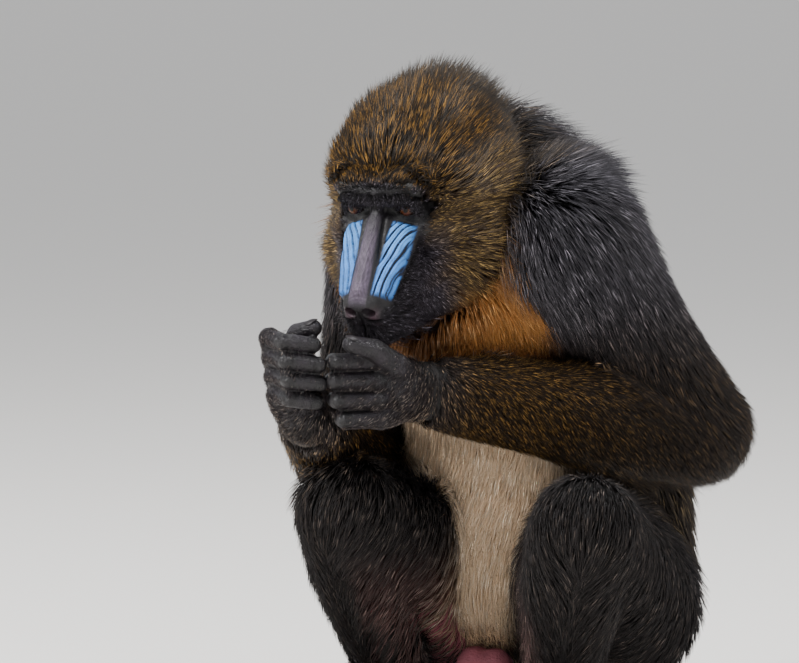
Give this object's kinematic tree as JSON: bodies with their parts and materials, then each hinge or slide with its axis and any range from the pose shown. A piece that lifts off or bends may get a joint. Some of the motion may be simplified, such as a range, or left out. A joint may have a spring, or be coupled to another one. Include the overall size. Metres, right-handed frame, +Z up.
{
  "type": "mandrill model",
  "caption": "Life-size still model of a male mandrill sitting with its knees up and both hands raised together to its mouth.",
  "frame": {"origin": "on the floor, in the flat under the middle of the rump", "axes": "+Z up, the animal faces -Y, its left side is +X"},
  "size_m": [0.44, 0.491, 0.6077],
  "materials": {
    "black_coat": "long soft charcoal-black coat",
    "brown_coat": "dark brown coat with golden flecks",
    "pale_coat": "cream-grey belly coat",
    "orange_coat": "ochre-orange beard and throat coat",
    "dark_skin": "bare purplish-black skin, satin",
    "pink_skin": "bare pink skin, satin",
    "amber_eye": "glossy orange-brown eye"
  },
  "bodies": {
    "root": {"chest": "black_coat", "neck": "black_coat", "pelvis": "black_coat", "tail": "black_coat", "thigh_left": "black_coat", "thigh_right": "black_coat", "shank_left": "black_coat", "shank_right": "black_coat", "head": "brown_coat", "upper_arm_left": "brown_coat", "upper_arm_right": "brown_coat", "forearm_left": "brown_coat", "forearm_right": "brown_coat", "abdomen": "pale_coat", "jaw": "orange_coat", "hand_left": "dark_skin", "hand_right": "dark_skin", "foot_left": "dark_skin", "foot_right": "dark_skin", "scrotum": "pink_skin", "ear_left": "pink_skin", "ear_right": "pink_skin", "eye_left": "amber_eye", "eye_right": "amber_eye"}
  },
  "joints": []
}
